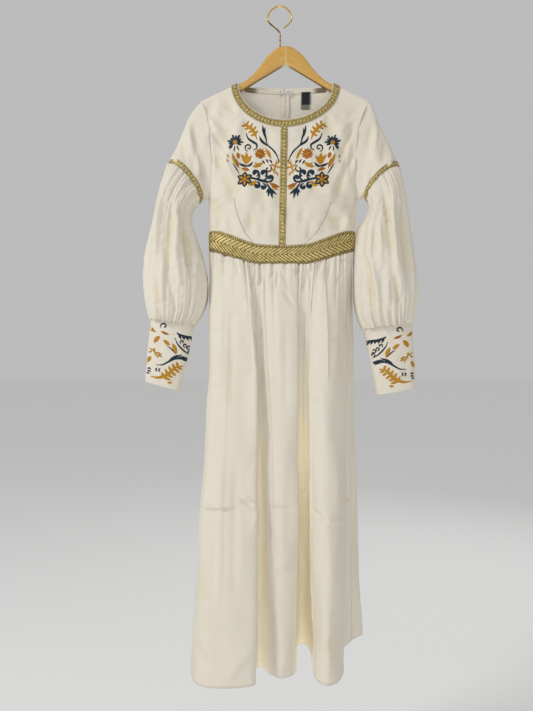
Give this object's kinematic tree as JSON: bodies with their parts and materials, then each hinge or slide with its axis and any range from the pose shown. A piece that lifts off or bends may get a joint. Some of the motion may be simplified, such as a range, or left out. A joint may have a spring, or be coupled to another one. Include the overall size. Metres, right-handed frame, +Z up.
{
  "type": "long a-line dress with balloon sleeves on a wooden hanger",
  "caption": "Long cotton dress with gathered balloon sleeves, deep cuffs and gold braid, hanging on a bell-shaped wooden hanger with a looped wire hook.",
  "frame": {"origin": "The hang point: the inside top of the hanger's wire hook, where it rests on a rail.", "axes": "+Z up along the dress, +X to the right of someone looking at the front, +Y towards the back; the front faces -Y."},
  "size_m": [0.611, 0.2292, 1.4861],
  "materials": {
    "cream_cotton": "matt woven cotton",
    "gold_braid": "woven metallic thread",
    "honey_wood": "clear satin lacquer",
    "brass_wire": "bright drawn wire",
    "nickelled_steel": "bright nickel plate",
    "white_thread": "thick white thread",
    "black_satin_label": "woven satin, bare",
    "grey_satin_tab": "woven satin, bare"
  },
  "bodies": {
    "dress": {"bodice_front": "cream_cotton", "bodice_back_left": "cream_cotton", "bodice_back_right": "cream_cotton", "skirt_front": "cream_cotton", "skirt_back_left": "cream_cotton", "skirt_back_right": "cream_cotton", "upper_sleeve_left": "cream_cotton", "upper_sleeve_right": "cream_cotton", "balloon_sleeve_left": "cream_cotton", "balloon_sleeve_right": "cream_cotton", "cuff_left": "cream_cotton", "cuff_right": "cream_cotton", "zip_tape_left": "cream_cotton", "zip_tape_right": "cream_cotton", "neck_braid": "gold_braid", "front_braid": "gold_braid", "waist_braid": "gold_braid", "sleeve_braid_left": "gold_braid", "sleeve_braid_right": "gold_braid", "hanger_wood": "honey_wood", "hanger_hook": "brass_wire", "zip_slider": "nickelled_steel", "neck_hook": "white_thread", "neck_eye": "white_thread", "neck_label": "black_satin_label", "size_tab": "grey_satin_tab"},
    "zip_tab": {"zip_pull": "nickelled_steel"}
  },
  "joints": [
    {"name": "zip_pull_hinge", "type": "hinge", "parent": "dress", "child": "zip_tab", "pos_m": [0.0125, 0.0232, -0.19], "axis": [1, 0, 0], "range_deg": [0, 150]}
  ]
}
